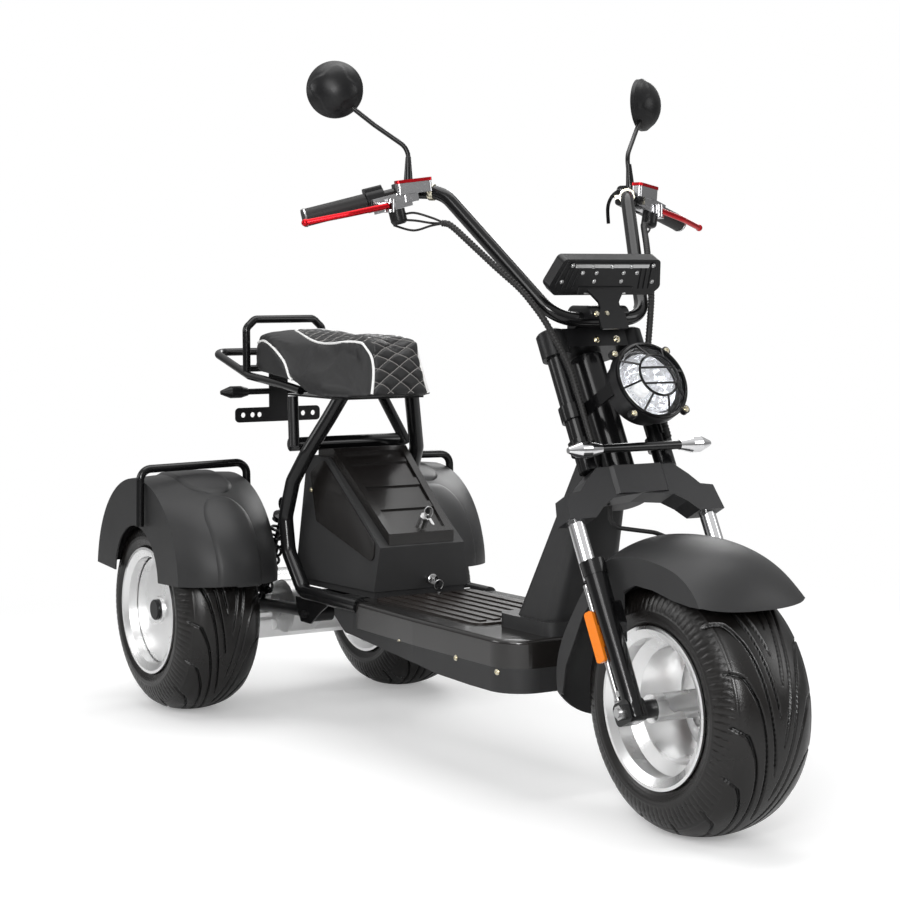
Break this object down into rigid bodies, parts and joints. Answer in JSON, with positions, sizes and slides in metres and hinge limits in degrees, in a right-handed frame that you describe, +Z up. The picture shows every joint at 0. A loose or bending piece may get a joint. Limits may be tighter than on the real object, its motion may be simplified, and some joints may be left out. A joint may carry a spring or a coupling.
{
  "type": "electric tricycle",
  "caption": "Stand-over electric tricycle with fat road tyres, steered double-crown fork, padded saddle, footboard and hinged battery compartment lid.",
  "frame": {"origin": "bottom centre of the whole vehicle's bounding box, on the ground", "axes": "+X forward, +Y to the rider's left, +Z up"},
  "size_m": [1.992, 0.918, 1.3679],
  "materials": {
    "amber": "amber reflector",
    "battery": "closed module",
    "black_metal": "gloss black enamel",
    "cast_alloy": "machined, bright",
    "chrome": "polished",
    "dark_metal": "satin dark grey",
    "gloss_plastic": "gloss brown-black",
    "leather": "black, stitched",
    "lens": "clear",
    "red_anodised": "red anodised",
    "rubber": "matte",
    "satin_plastic": "satin charcoal",
    "steel": "ground",
    "tyre": "fine ribbed road tread"
  },
  "bodies": {
    "chassis": {"axle_housing": "cast_alloy", "battery_box": "satin_plastic", "battery_pack": "battery", "box_lock": "steel", "column_cover": "satin_plastic", "deck_mat": "rubber", "deck_moulding": "gloss_plastic", "deck_skirt": "satin_plastic", "fender_rails": "black_metal", "plate_bracket": "black_metal", "rear_fenders": "satin_plastic", "rear_rack": "black_metal", "rear_signals": "satin_plastic", "seat_cushion": "leather", "seat_frame": "black_metal", "shock_absorbers": "black_metal", "side_panels": "gloss_plastic", "swing_arms": "black_metal", "under_frame": "black_metal"},
    "steering": {"front_axle": "steel", "fork_legs": "black_metal", "stanchions": "chrome", "reflector_rods": "steel", "reflectors": "amber", "lower_yoke": "dark_metal", "upper_tubes": "black_metal", "top_clamp": "black_metal", "handlebar": "black_metal", "riser_block": "black_metal", "grips": "rubber", "control_housings": "satin_plastic", "master_cylinders": "cast_alloy", "reservoir_caps": "red_anodised", "levers": "red_anodised", "mirror_stems": "black_metal", "mirror_heads": "satin_plastic", "display": "satin_plastic", "headlight_housing": "satin_plastic", "headlight_lens": "lens", "headlight_grille": "black_metal", "lamp_bracket": "black_metal", "front_signals": "chrome", "front_fender": "satin_plastic", "cable_looms": "rubber", "front_caliper": "steel", "brake_hose": "rubber"},
    "front_wheel": {"front_tyre": "tyre", "front_rim": "cast_alloy", "front_brake_disc": "steel"},
    "rear_right_wheel": {"rear_right_tyre": "tyre", "rear_right_rim": "cast_alloy", "rear_right_shaft": "steel"},
    "rear_left_wheel": {"rear_left_tyre": "tyre", "rear_left_rim": "cast_alloy", "rear_left_shaft": "steel"},
    "battery_lid": {"battery_lid": "gloss_plastic", "lid_lock": "steel"}
  },
  "joints": [
    {"name": "steering", "type": "hinge", "parent": "chassis", "child": "steering", "pos_m": [0.51353, 0, 0.66164], "axis": [-0.4571, 0, 0.8894], "range_deg": [-38, 38]},
    {"name": "front_wheel_spin", "type": "hinge", "parent": "steering", "child": "front_wheel", "pos_m": [0.76653, 0, 0.2295], "axis": [0, 1, 0], "continuous": true},
    {"name": "rear_right_wheel_spin", "type": "hinge", "parent": "chassis", "child": "rear_right_wheel", "pos_m": [-0.74347, -0.275, 0.2295], "axis": [0, 1, 0], "continuous": true},
    {"name": "rear_left_wheel_spin", "type": "hinge", "parent": "chassis", "child": "rear_left_wheel", "pos_m": [-0.74347, 0.275, 0.2295], "axis": [0, 1, 0], "continuous": true},
    {"name": "battery_lid_hinge", "type": "hinge", "parent": "chassis", "child": "battery_lid", "pos_m": [-0.44146, 0, 0.5842], "axis": [0, -1, 0], "range_deg": [0, 50]}
  ]
}
